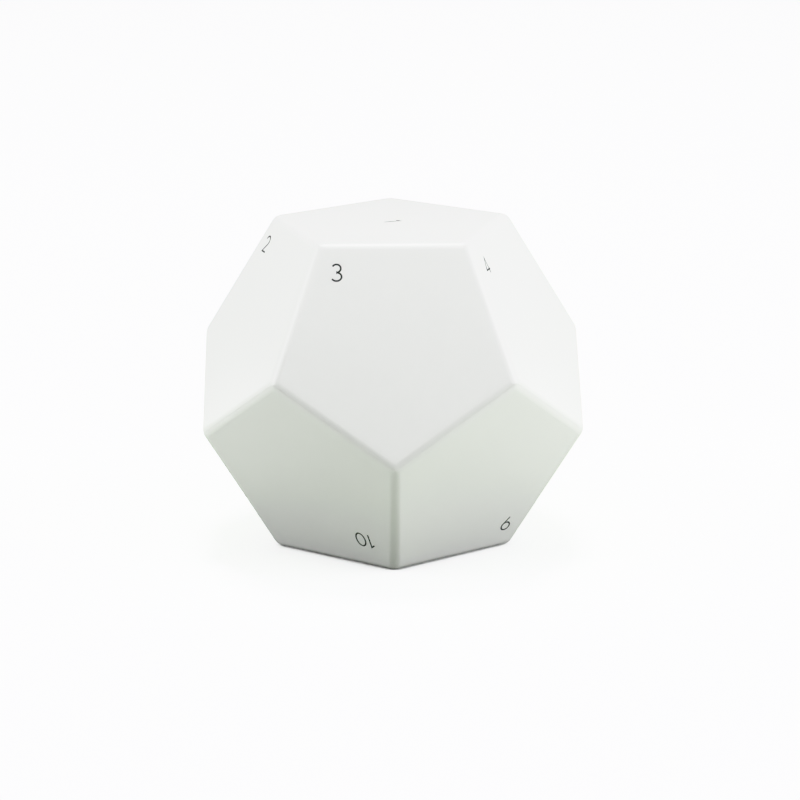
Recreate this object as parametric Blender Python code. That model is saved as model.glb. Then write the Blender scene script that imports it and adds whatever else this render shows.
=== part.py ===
"""A twelve-sided numbered remote: two moulded shells, a battery chassis and a circuit board.

Lengths are in metres. The part rests on face 12 with face 1 up (+Z) and face 3 to the front (-Y).
Heights below are measured from the centre of the dodecahedron, which stands INRADIUS above the rest face.
"""
import math

import bmesh
import bpy
from mathutils import Matrix, Vector

MM = 0.001

# Dodecahedral skin
FACE_TO_FACE = 72 * MM
INRADIUS = FACE_TO_FACE / 2
WALL = 2 * MM
EDGE_FILLET = 2.6 * MM
FILLET_SEGMENTS = 4
PARTING_GAP = 0.2 * MM

# Azimuths, in degrees, of the five-fold features
UPPER_VERTEX = 18  # corners of the top face, and of the upper belt
LOWER_VERTEX = 54  # corners of the lower belt and of the rest face; also the centres of the upper faces
STEP = 72

# Snap collar, and the C-shaped fins that hold it in the upper shell
COLLAR_INNER = 30.4 * MM
COLLAR_OUTER = 31.8 * MM
COLLAR_BOTTOM = 8.6 * MM
COLLAR_TOP = 11.2 * MM
GROOVE_RADIUS = 30.9 * MM
GROOVE_BOTTOM = 9.4 * MM
GROOVE_TOP = 10.4 * MM
FIT_GAP = 0.3 * MM
FIN_THICKNESS = 1.6 * MM
FIN_BOTTOM = 7.4 * MM
FIN_TOP = 16 * MM
FIN_REACH = 40 * MM
FIN_LOWER_LEDGE = 31.2 * MM
FIN_UPPER_LEDGE = 30.6 * MM

# Screw posts in the lower shell
SCREW_ANGLES = (54, 126, 270)
SCREW_CIRCLE = 31.5 * MM
POST_RADIUS = 3 * MM
POST_TOP = -9.5 * MM
POST_PILOT = 1.15 * MM
PILOT_BOTTOM = -18 * MM
RIB_THICKNESS = 1.2 * MM
RIB_TOP = -11 * MM
RIB_REACH = 14 * MM

# Chassis deck
DECK_RADIUS = 31 * MM
DECK_BOTTOM = -9.2 * MM
DECK_TOP = -7.7 * MM
EAR_RADIUS = 3.2 * MM
SCREW_HOLE = 1.3 * MM
LIGHT_X = 9.5 * MM
LIGHT_Y = 22 * MM
WINDOW_SIZE = (8 * MM, 4.5 * MM)

# Two AA cells, side by side along X
CELL_Y = 7.7 * MM
CELL_RADIUS = 7.25 * MM
CELL_FLAT_END = 23.3 * MM
CELL_CAN_END = 26.05 * MM
CELL_NUB_END = 27.2 * MM
CELL_NUB_RADIUS = 2.75 * MM
CELL_CHAMFER = 0.6 * MM

# Cell troughs
TROUGH_INNER = 7.45 * MM
TROUGH_OUTER = 8.65 * MM
TROUGH_LIP = 0.5 * MM
TROUGH_END = 26.9 * MM
END_BLOCK_START = 25.5 * MM
END_BLOCK_END = 29.4 * MM
END_BLOCK_TOP = 5.5 * MM
END_BLOCK_CORNER = 1.5 * MM
RIB_CUT_HALF_WIDTH = 3 * MM
RIB_CUT_BOTTOM = -2.5 * MM
CORE_HALF_WIDTH = 2 * MM

# Battery contacts, which stand in slots in the end blocks
SLOT_START = 27.3 * MM
SLOT_END = 28.1 * MM
SLOT_BOTTOM = -6.3 * MM
SINGLE_SLOT_HALF = 5.6 * MM
BRIDGE_SLOT_HALF = 13.3 * MM
LEG_SLOT_HALF = 1.8 * MM
PORT_HALF = 4.7 * MM
PLATE_START = 27.5 * MM
PLATE_END = 27.9 * MM
PLATE_BOTTOM = -6 * MM
PLATE_TOP = 4.5 * MM
SINGLE_PLATE_HALF = 5.3 * MM
BRIDGE_PLATE_HALF = 13 * MM
LEG_HALF = 1.5 * MM
FOOT_BOTTOM = -12.9 * MM
FOOT_TOP = -12.5 * MM
FOOT_START = 24.5 * MM

# Conical contact springs
WIRE_RADIUS = 0.35 * MM
SPRING_BASE = 27 * MM
SPRING_TIP = 23.95 * MM
SPRING_BASE_RADIUS = 4.2 * MM
SPRING_TIP_RADIUS = 2.4 * MM
SPRING_TURNS = 3.5
SPRING_STEPS_PER_TURN = 14

# Snap tabs on the chassis
TAB_ANGLES = (90, 234, 306)
TAB_INNER = 28.8 * MM
TAB_OUTER = 30.1 * MM
TAB_WIDTH = 7 * MM
TAB_BOTTOM = -7.9 * MM
TAB_TOP = 10.9 * MM
BUMP_RADIUS = 0.45 * MM
BUMP_CIRCLE = 29.85 * MM
BUMP_HEIGHT = 9.9 * MM

# Circuit board and its stand-offs
BOARD_RADIUS = 27.5 * MM
BOARD_TOP = -13 * MM
BOARD_BOTTOM = -14.6 * MM
STANDOFF_ANGLES = (30, 150, 270)
STANDOFF_CIRCLE = 21 * MM
STANDOFF_RADIUS = 2.5 * MM
STANDOFF_BOTTOM = -12.7 * MM
STANDOFF_PILOT = 1.1 * MM
STANDOFF_PILOT_TOP = -8.2 * MM
SOLDER_GAP = 0.1 * MM

# Lights
LIGHT_SIZE = (3.5 * MM, 2.8 * MM, 1.4 * MM)
LOWER_LIGHT_OFFSET = 17 * MM

# Pairing button and switch
BUTTON_Y = 22.5 * MM
SLEEVE_OUTER = 3.2 * MM
SLEEVE_INNER = 1.95 * MM
SLEEVE_TOP = -6.6 * MM
STEM_RADIUS = 1.6 * MM
STEM_TOP = -5.6 * MM
FLANGE_RADIUS = 2.5 * MM
FLANGE_BOTTOM = -10.2 * MM
FLANGE_TOP = -9.6 * MM
PLUNGER_RADIUS = 1.1 * MM
PLUNGER_BOTTOM = -11.7 * MM
PLUNGER_TOP = -10.3 * MM
SWITCH_SIZE = 4.5 * MM
SWITCH_BOTTOM = -12.9 * MM
SWITCH_TOP = -10.9 * MM
SWITCH_BORE = 1.35 * MM
SWITCH_BORE_BOTTOM = -12.4 * MM

# Screws: head radius, head underside and top, shank radius and tip
CHASSIS_SCREW = {"head": 2.25 * MM, "seat": -7.4 * MM, "top": -6.1 * MM, "shank": 1 * MM, "tip": -16 * MM}
BOARD_SCREW = {"head": 2.2 * MM, "seat": -14.9 * MM, "top": -16.1 * MM, "shank": 0.9 * MM, "tip": -9.4 * MM}

# Chips under the board: name, size X, Y, Z, centre X, Y, gap below the board, material
CHIPS = (
    ("radio_module", 16 * MM, 12 * MM, 0.8 * MM, 0, -8 * MM, SOLDER_GAP, "board"),
    ("radio_shield", 12 * MM, 9.5 * MM, 1.8 * MM, -1.2 * MM, -8 * MM, SOLDER_GAP * 2 + 0.8 * MM, "shield"),
    ("motion_sensor", 3 * MM, 3 * MM, 0.9 * MM, 0, 2.5 * MM, SOLDER_GAP, "chip"),
    ("crystal", 3.2 * MM, 2.5 * MM, 0.8 * MM, 12 * MM, -6 * MM, SOLDER_GAP, "shield"),
    ("boost_inductor", 4 * MM, 4 * MM, 2 * MM, 11 * MM, 3 * MM, SOLDER_GAP, "chip"),
    ("tank_capacitor", 3.5 * MM, 2.8 * MM, 1.9 * MM, 5.5 * MM, 10 * MM, SOLDER_GAP, "capacitor"),
)

GOLDEN = (1 + math.sqrt(5)) / 2
HALF_TURN_OF_EDGE = math.radians(63.4349 / 2)  # half the angle between neighbouring face normals
ROUND_SEGMENTS = 32
RING_SEGMENTS = 72

# Name: base colour, roughness, metallic
FINISHES = {
    "shell": ((0.86, 0.87, 0.85, 1), 0.42, 0),
    "chassis": ((0.74, 0.75, 0.74, 1), 0.5, 0),
    "collar": ((0.62, 0.63, 0.64, 1), 0.45, 0),
    "board": ((0.03, 0.2, 0.09, 1), 0.35, 0),
    "chip": ((0.03, 0.03, 0.035, 1), 0.5, 0),
    "capacitor": ((0.55, 0.38, 0.14, 1), 0.45, 0),
    "shield": ((0.62, 0.62, 0.6, 1), 0.3, 1),
    "lens": ((0.9, 0.88, 0.7, 1), 0.25, 0),
    "button": ((0.32, 0.34, 0.36, 1), 0.6, 0),
    "cell": ((0.2, 0.3, 0.4, 1), 0.3, 0.6),
    "contact": ((0.7, 0.7, 0.68, 1), 0.25, 1),
    "screw": ((0.5, 0.5, 0.5, 1), 0.35, 1),
}


def clear_scene():
    """Remove every object that the opened file holds."""
    for obj in list(bpy.data.objects):
        bpy.data.objects.remove(obj, do_unlink=True)


def polar(radius, degrees, height=0.0):
    """Return the point at a radius and azimuth about the Z axis."""
    angle = math.radians(degrees)
    return Vector((radius * math.cos(angle), radius * math.sin(angle), height))


def add_object(name, bm):
    """Turn a bmesh into a linked object with outward faces."""
    bmesh.ops.recalc_face_normals(bm, faces=bm.faces)
    mesh = bpy.data.meshes.new(name)
    bm.to_mesh(mesh)
    bm.free()
    obj = bpy.data.objects.new(name, mesh)
    bpy.context.scene.collection.objects.link(obj)
    return obj


def combine(target, tool, operation):
    """Apply a Boolean between two objects to the first and remove the second."""
    modifier = target.modifiers.new("combine", "BOOLEAN")
    modifier.operation = operation
    modifier.object = tool
    depsgraph = bpy.context.evaluated_depsgraph_get()
    result = bpy.data.meshes.new_from_object(target.evaluated_get(depsgraph))
    target.modifiers.remove(modifier)
    target.data = result
    bpy.data.objects.remove(tool, do_unlink=True)


def join(target, tool):
    combine(target, tool, "UNION")


def cut(target, tool):
    combine(target, tool, "DIFFERENCE")


def trim(target, tool):
    combine(target, tool, "INTERSECT")


def block(name, low, high):
    """Return a box between two corners."""
    bm = bmesh.new()
    bmesh.ops.create_cube(bm, size=1)
    low = Vector(low)
    high = Vector(high)
    size = high - low
    bmesh.ops.scale(bm, vec=size, verts=bm.verts)
    bmesh.ops.translate(bm, vec=(low + high) / 2, verts=bm.verts)
    return add_object(name, bm)


def turned(name, profile, segments=ROUND_SEGMENTS, at=(0, 0)):
    """Return a solid of revolution about a vertical axis from (radius, height) pairs, capped at both ends."""
    bm = bmesh.new()
    rings = []
    for radius, height in profile:
        angles = [2 * math.pi * step / segments for step in range(segments)]
        points = [(at[0] + radius * math.cos(a), at[1] + radius * math.sin(a), height) for a in angles]
        rings.append([bm.verts.new(point) for point in points])
    for lower, upper in zip(rings, rings[1:]):
        for step in range(segments):
            after = (step + 1) % segments
            bm.faces.new((lower[step], lower[after], upper[after], upper[step]))
    bm.faces.new(rings[0])
    bm.faces.new(rings[-1])
    return add_object(name, bm)


def disc(name, radius, bottom, top, at=(0, 0)):
    """Return a vertical cylinder."""
    return turned(name, [(radius, bottom), (radius, top)], at=at)


def lying_rod(name, radius, start, end, y):
    """Return a cylinder along X at height zero."""
    rod = turned(name, [(radius, start), (radius, end)], segments=48)
    rod.data.transform(Matrix.Translation((0, y, 0)) @ Matrix.Rotation(math.pi / 2, 4, "Y"))
    return rod


def turned_ring(name, loop, segments=RING_SEGMENTS):
    """Return a ring whose cross-section is a closed loop of (radius, height) pairs."""
    bm = bmesh.new()
    rings = []
    for step in range(segments):
        angle = 360 * step / segments
        rings.append([bm.verts.new(polar(radius, angle, height)) for radius, height in loop])
    for step in range(segments):
        here = rings[step]
        after = rings[(step + 1) % segments]
        for corner in range(len(loop)):
            following = (corner + 1) % len(loop)
            bm.faces.new((here[corner], after[corner], after[following], here[following]))
    return add_object(name, bm)


def prism(name, outline, bottom, top):
    """Return a vertical prism over an outline of (x, y) pairs."""
    bm = bmesh.new()
    face = bm.faces.new([bm.verts.new((x, y, bottom)) for x, y in outline])
    grown = bmesh.ops.extrude_face_region(bm, geom=[face])
    raised = [item for item in grown["geom"] if isinstance(item, bmesh.types.BMVert)]
    bmesh.ops.translate(bm, vec=(0, 0, top - bottom), verts=raised)
    return add_object(name, bm)


def fin(name, outline, thickness, degrees):
    """Return a plate that stands on a radius: its outline is (radius, height) pairs, at an azimuth."""
    plate = prism(name, outline, -thickness / 2, thickness / 2)
    upright = Matrix.Rotation(math.pi / 2, 4, "X")
    plate.data.transform(Matrix.Rotation(math.radians(degrees), 4, "Z") @ upright)
    return plate


def rounded_rectangle(low, high, radius, steps=4):
    """Return the outline of a rectangle with round corners, counter-clockwise."""
    corners = (
        (high[0] - radius, high[1] - radius, 0),
        (low[0] + radius, high[1] - radius, 90),
        (low[0] + radius, low[1] + radius, 180),
        (high[0] - radius, low[1] + radius, 270),
    )
    outline = []
    for x, y, start in corners:
        for step in range(steps + 1):
            point = polar(radius, start + 90 * step / steps)
            outline.append((x + point.x, y + point.y))
    return outline


def corner_rings(inradius):
    """Return a dodecahedron's corners as four rings of five: top face, upper belt, lower belt, rest face."""
    cap_radius = 2 * inradius / GOLDEN ** 2
    belt_radius = 2 * inradius / GOLDEN
    belt_height = inradius / GOLDEN ** 3
    rings = (
        (cap_radius, UPPER_VERTEX, inradius),
        (belt_radius, UPPER_VERTEX, belt_height),
        (belt_radius, LOWER_VERTEX, -belt_height),
        (cap_radius, LOWER_VERTEX, -inradius),
    )
    return [[polar(radius, start + STEP * k, height) for k in range(5)] for radius, start, height in rings]


def dodecahedron(name, inradius, fillet=0.0):
    """Return a dodecahedron that stands on a face, with round edges if a fillet radius is given."""
    bm = bmesh.new()
    top, upper, lower, rest = [[bm.verts.new(p) for p in ring] for ring in corner_rings(inradius)]
    bm.faces.new(top)
    bm.faces.new(rest)
    for k in range(5):
        after = (k + 1) % 5
        before = k - 1
        bm.faces.new((top[k], upper[k], lower[k], upper[after], top[after]))
        bm.faces.new((upper[k], lower[before], rest[before], rest[k], lower[k]))
    bmesh.ops.recalc_face_normals(bm, faces=bm.faces)
    if fillet:
        setback = fillet * math.tan(HALF_TURN_OF_EDGE)
        bmesh.ops.bevel(
            bm,
            geom=bm.edges[:],
            offset=setback,
            segments=FILLET_SEGMENTS,
            profile=0.5,
            affect="EDGES",
        )
    return add_object(name, bm)


def half_space(name, side):
    """Return the space above (side 1) or below (side -1) the zigzag parting surface.

    The surface fans out from the centre through the ten edges of the belt.
    """
    bm = bmesh.new()
    _, upper, lower, _ = corner_rings(INRADIUS)
    belt = [point for pair in zip(upper, lower) for point in pair]
    shift = Vector((0, 0, side * PARTING_GAP / 2))
    apex = bm.verts.new(shift)
    near = [bm.verts.new(point * 1.4 + shift) for point in belt]
    far = [bm.verts.new((point.x * 1.4, point.y * 1.4, side * FACE_TO_FACE)) for point in belt]
    for k in range(10):
        after = (k + 1) % 10
        bm.faces.new((apex, near[k], near[after]))
        bm.faces.new((near[k], near[after], far[after], far[k]))
    bm.faces.new(far)
    return add_object(name, bm)


def half_skin(name, side, features):
    """Return one half of the hollow dodecahedral skin, with inner features that grow out of the wall."""
    hollow = dodecahedron("hollow", INRADIUS - WALL)
    for feature in features:
        cut(hollow, feature)
    skin = dodecahedron(name, INRADIUS, EDGE_FILLET)
    cut(skin, hollow)
    trim(skin, half_space("parting", side))
    return skin


def collar_fin(degrees):
    """Return a C-shaped fin that holds the snap collar and runs out through the wall."""
    outline = (
        (FIN_LOWER_LEDGE, FIN_BOTTOM),
        (FIN_REACH, FIN_BOTTOM),
        (FIN_REACH, FIN_TOP),
        (FIN_UPPER_LEDGE, FIN_TOP),
        (FIN_UPPER_LEDGE, COLLAR_TOP + FIT_GAP),
        (COLLAR_OUTER + FIT_GAP, COLLAR_TOP + FIT_GAP),
        (COLLAR_OUTER + FIT_GAP, COLLAR_BOTTOM - FIT_GAP),
        (FIN_LOWER_LEDGE, COLLAR_BOTTOM - FIT_GAP),
    )
    return fin("fin", outline, FIN_THICKNESS, degrees)


def make_upper_shell():
    fins = [collar_fin(LOWER_VERTEX + STEP * k) for k in range(5)]
    return half_skin("upper_shell", 1, fins)


def screw_post(degrees):
    """Return a screw post with its pilot hole and its gusset rib, which runs out through the wall."""
    foot = -FACE_TO_FACE
    post = disc("post", POST_RADIUS, foot, POST_TOP, polar(SCREW_CIRCLE, degrees))
    outline = (
        (SCREW_CIRCLE, foot),
        (SCREW_CIRCLE + RIB_REACH, foot),
        (SCREW_CIRCLE + RIB_REACH, RIB_TOP),
        (SCREW_CIRCLE, RIB_TOP),
    )
    join(post, fin("rib", outline, RIB_THICKNESS, degrees))
    cut(post, disc("pilot", POST_PILOT, PILOT_BOTTOM, 0, polar(SCREW_CIRCLE, degrees)))
    return post


def make_lower_shell():
    posts = [screw_post(degrees) for degrees in SCREW_ANGLES]
    return half_skin("lower_shell", -1, posts)


def make_snap_collar():
    loop = (
        (COLLAR_INNER, COLLAR_BOTTOM),
        (COLLAR_OUTER, COLLAR_BOTTOM),
        (COLLAR_OUTER, COLLAR_TOP),
        (COLLAR_INNER, COLLAR_TOP),
        (COLLAR_INNER, GROOVE_TOP),
        (GROOVE_RADIUS, GROOVE_TOP),
        (GROOVE_RADIUS, GROOVE_BOTTOM),
        (COLLAR_INNER, GROOVE_BOTTOM),
    )
    return turned_ring("snap_collar", loop)


def add_deck_features(chassis):
    """Join the screw ears, board stand-offs and button sleeve to the deck."""
    for degrees in SCREW_ANGLES:
        join(chassis, disc("ear", EAR_RADIUS, DECK_BOTTOM, DECK_TOP, polar(SCREW_CIRCLE, degrees)))
    for degrees in STANDOFF_ANGLES:
        place = polar(STANDOFF_CIRCLE, degrees)
        join(chassis, disc("standoff", STANDOFF_RADIUS, STANDOFF_BOTTOM, DECK_TOP, place))
    join(chassis, disc("sleeve", SLEEVE_OUTER, DECK_BOTTOM, SLEEVE_TOP, (0, BUTTON_Y)))


def cut_deck_features(chassis):
    """Cut the screw holes, the button hole and the light windows."""
    for degrees in SCREW_ANGLES:
        cut(chassis, disc("hole", SCREW_HOLE, 2 * DECK_BOTTOM, 0, polar(SCREW_CIRCLE, degrees)))
    for degrees in STANDOFF_ANGLES:
        place = polar(STANDOFF_CIRCLE, degrees)
        cut(chassis, disc("pilot", STANDOFF_PILOT, 2 * DECK_BOTTOM, STANDOFF_PILOT_TOP, place))
    cut(chassis, disc("button_hole", SLEEVE_INNER, 2 * DECK_BOTTOM, 0, (0, BUTTON_Y)))
    for x in (-LIGHT_X, LIGHT_X):
        for y in (-LIGHT_Y, LIGHT_Y):
            half_x, half_y = WINDOW_SIZE[0] / 2, WINDOW_SIZE[1] / 2
            low = (x - half_x, y - half_y)
            high = (x + half_x, y + half_y)
            outline = rounded_rectangle(low, high, MM)
            cut(chassis, prism("window", outline, 2 * DECK_BOTTOM, 0))


def add_cell_tray(chassis):
    """Join the two troughs and the end blocks that hold the contacts."""
    for y in (-CELL_Y, CELL_Y):
        trough = lying_rod("trough", TROUGH_OUTER, -END_BLOCK_END, END_BLOCK_END, y)
        cut(trough, block("above", (-1, -1, TROUGH_LIP), (1, 1, 1)))
        join(chassis, trough)
    for side in (-1, 1):
        near, far = sorted((side * END_BLOCK_START, side * END_BLOCK_END))
        half = CELL_Y + TROUGH_OUTER
        outline = rounded_rectangle((near, -half), (far, half), END_BLOCK_CORNER)
        join(chassis, prism("end_block", outline, DECK_BOTTOM, END_BLOCK_TOP))


def cut_cell_tray(chassis):
    """Cut the room for the cells, the slots for the contacts, and the core under the centre rib."""
    over = END_BLOCK_TOP + MM
    half = CELL_Y + TROUGH_INNER
    for y in (-CELL_Y, CELL_Y):
        cut(chassis, lying_rod("cell_room", TROUGH_INNER, -TROUGH_END, TROUGH_END, y))
    cut(chassis, block("mouth", (-TROUGH_END, -half, 0), (TROUGH_END, half, over)))
    low = (-TROUGH_END, -RIB_CUT_HALF_WIDTH, RIB_CUT_BOTTOM)
    cut(chassis, block("rib_cut", low, (TROUGH_END, RIB_CUT_HALF_WIDTH, over)))
    overlap = 0.1 * MM
    low = (-END_BLOCK_START, -CORE_HALF_WIDTH, DECK_BOTTOM - overlap)
    cut(chassis, block("core", low, (END_BLOCK_START, CORE_HALF_WIDTH, DECK_TOP + overlap)))
    for side in (-1, 1):
        port_near, port_far = sorted((side * (TROUGH_END - overlap), side * (SLOT_START + overlap)))
        for y in (-CELL_Y, CELL_Y):
            low = (port_near, y - PORT_HALF, -PORT_HALF)
            cut(chassis, block("port", low, (port_far, y + PORT_HALF, over)))
    low = (-SLOT_END, -BRIDGE_SLOT_HALF, SLOT_BOTTOM)
    cut(chassis, block("bridge_slot", low, (-SLOT_START, BRIDGE_SLOT_HALF, over)))
    for y in (-CELL_Y, CELL_Y):
        low = (SLOT_START, y - SINGLE_SLOT_HALF, SLOT_BOTTOM)
        cut(chassis, block("slot", low, (SLOT_END, y + SINGLE_SLOT_HALF, over)))
        low = (SLOT_START, y - LEG_SLOT_HALF, DECK_BOTTOM - overlap)
        cut(chassis, block("leg_slot", low, (SLOT_END, y + LEG_SLOT_HALF, SLOT_BOTTOM + overlap)))


def snap_tab(degrees):
    """Return an upright tab with a half-round bump that clicks into the collar's groove."""
    tab = block("tab", (TAB_INNER, -TAB_WIDTH / 2, TAB_BOTTOM), (TAB_OUTER, TAB_WIDTH / 2, TAB_TOP))
    bump = turned("bump", [(BUMP_RADIUS, -TAB_WIDTH / 2 + MM), (BUMP_RADIUS, TAB_WIDTH / 2 - MM)], segments=16)
    bump.data.transform(Matrix.Translation((BUMP_CIRCLE, 0, BUMP_HEIGHT)) @ Matrix.Rotation(math.pi / 2, 4, "X"))
    join(tab, bump)
    tab.data.transform(Matrix.Rotation(math.radians(degrees), 4, "Z"))
    return tab


def make_chassis():
    chassis = turned("chassis", [(DECK_RADIUS, DECK_BOTTOM), (DECK_RADIUS, DECK_TOP)], RING_SEGMENTS)
    add_deck_features(chassis)
    add_cell_tray(chassis)
    cut_cell_tray(chassis)
    cut_deck_features(chassis)
    for degrees in TAB_ANGLES:
        join(chassis, snap_tab(degrees))
    return chassis


def make_circuit_board():
    board = turned("circuit_board", [(BOARD_RADIUS, BOARD_BOTTOM), (BOARD_RADIUS, BOARD_TOP)], RING_SEGMENTS)
    for degrees in STANDOFF_ANGLES:
        cut(board, disc("hole", SCREW_HOLE, 2 * BOARD_BOTTOM, 0, polar(STANDOFF_CIRCLE, degrees)))
    return board


def make_chip(name, size, centre, gap):
    """Return a chip that hangs under the board."""
    top = BOARD_BOTTOM - gap
    low = (centre[0] - size[0] / 2, centre[1] - size[1] / 2, top - size[2])
    high = (centre[0] + size[0] / 2, centre[1] + size[1] / 2, top)
    return block(name, low, high)


def make_light(name, x, y, bottom):
    """Return a surface-mount LED body."""
    half_x, half_y, height = LIGHT_SIZE[0] / 2, LIGHT_SIZE[1] / 2, LIGHT_SIZE[2]
    return block(name, (x - half_x, y - half_y, bottom), (x + half_x, y + half_y, bottom + height))


def make_switch_body():
    half = SWITCH_SIZE / 2
    body = block("switch_body", (-half, BUTTON_Y - half, SWITCH_BOTTOM), (half, BUTTON_Y + half, SWITCH_TOP))
    cut(body, disc("bore", SWITCH_BORE, SWITCH_BORE_BOTTOM, 0, (0, BUTTON_Y)))
    return body


def make_pairing_button():
    profile = [
        (FLANGE_RADIUS, FLANGE_BOTTOM),
        (FLANGE_RADIUS, FLANGE_TOP),
        (STEM_RADIUS, FLANGE_TOP),
        (STEM_RADIUS, STEM_TOP - 0.3 * MM),
        (STEM_RADIUS - 0.3 * MM, STEM_TOP),
    ]
    return turned("pairing_button", profile)


def make_cell(name, direction):
    """Return an AA cell along X whose terminal nub points in the given direction, centred on its axis."""
    profile = [
        (CELL_RADIUS - CELL_CHAMFER, -CELL_FLAT_END),
        (CELL_RADIUS, -CELL_FLAT_END + CELL_CHAMFER),
        (CELL_RADIUS, CELL_CAN_END - CELL_CHAMFER),
        (CELL_RADIUS - CELL_CHAMFER, CELL_CAN_END),
        (CELL_NUB_RADIUS, CELL_CAN_END),
        (CELL_NUB_RADIUS, CELL_NUB_END),
    ]
    cell = turned(name, profile, segments=40)
    cell.data.transform(Matrix.Rotation(direction * math.pi / 2, 4, "Y"))
    return cell


def make_single_contact(name, y):
    """Return a contact plate with a leg through the deck and a foot on the board."""
    low = (PLATE_START, y - SINGLE_PLATE_HALF, PLATE_BOTTOM)
    contact = block(name, low, (PLATE_END, y + SINGLE_PLATE_HALF, PLATE_TOP))
    leg_top = PLATE_BOTTOM + MM
    join(contact, block("leg", (PLATE_START, y - LEG_HALF, FOOT_BOTTOM), (PLATE_END, y + LEG_HALF, leg_top)))
    join(contact, block("foot", (FOOT_START, y - LEG_HALF, FOOT_BOTTOM), (PLATE_END, y + LEG_HALF, FOOT_TOP)))
    return contact


def make_bridge_contact():
    low = (-PLATE_END, -BRIDGE_PLATE_HALF, PLATE_BOTTOM)
    return block("bridge_contact", low, (-PLATE_START, BRIDGE_PLATE_HALF, PLATE_TOP))


def make_spring(name, side, y):
    """Return a conical coil that bears on the flat end of a cell."""
    curve = bpy.data.curves.new(name, "CURVE")
    curve.dimensions = "3D"
    curve.bevel_depth = WIRE_RADIUS
    curve.bevel_resolution = 1
    curve.use_fill_caps = True
    spline = curve.splines.new("POLY")
    count = int(SPRING_TURNS * SPRING_STEPS_PER_TURN)
    spline.points.add(count)
    for index, point in enumerate(spline.points):
        share = index / count
        angle = 2 * math.pi * SPRING_TURNS * share
        radius = SPRING_BASE_RADIUS + share * (SPRING_TIP_RADIUS - SPRING_BASE_RADIUS)
        x = side * (SPRING_BASE + share * (SPRING_TIP - SPRING_BASE))
        point.co = (x, y + radius * math.cos(angle), radius * math.sin(angle), 1)
    spring = bpy.data.objects.new(name, curve)
    bpy.context.scene.collection.objects.link(spring)
    return spring


def make_screw(name, sizes, circle, degrees):
    """Return a pan-head screw; its head is at either end of the shank."""
    towards_tip = 1 if sizes["tip"] > sizes["seat"] else -1
    point = sizes["tip"] - towards_tip * 0.8 * MM
    edge = sizes["top"] + towards_tip * 0.4 * MM
    profile = [
        (sizes["head"] - 0.4 * MM, sizes["top"]),
        (sizes["head"], edge),
        (sizes["head"], sizes["seat"]),
        (sizes["shank"], sizes["seat"]),
        (sizes["shank"], point),
        (sizes["shank"] * 0.4, sizes["tip"]),
    ]
    return turned(name, profile, segments=20, at=polar(circle, degrees))


def make_material(name):
    colour, roughness, metallic = FINISHES[name]
    material = bpy.data.materials.new(name)
    material.use_nodes = True
    material.diffuse_color = colour
    shader = material.node_tree.nodes["Principled BSDF"]
    shader.inputs["Base Color"].default_value = colour
    shader.inputs["Roughness"].default_value = roughness
    shader.inputs["Metallic"].default_value = metallic
    return material


def make_frame(name, location, parent=None):
    """Return an empty that carries the pieces of one moving body."""
    empty = bpy.data.objects.new(name, None)
    empty.location = location
    empty.parent = parent
    bpy.context.scene.collection.objects.link(empty)
    return empty


def finish_piece(piece, material, frame):
    """Give a piece its material and its parent, and smooth its round surfaces."""
    piece.data.materials.clear()
    piece.data.materials.append(material)
    piece.parent = frame
    if piece.type == "MESH":
        piece.data.shade_smooth()
        piece.data.set_sharp_from_angle(angle=math.radians(35))


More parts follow.
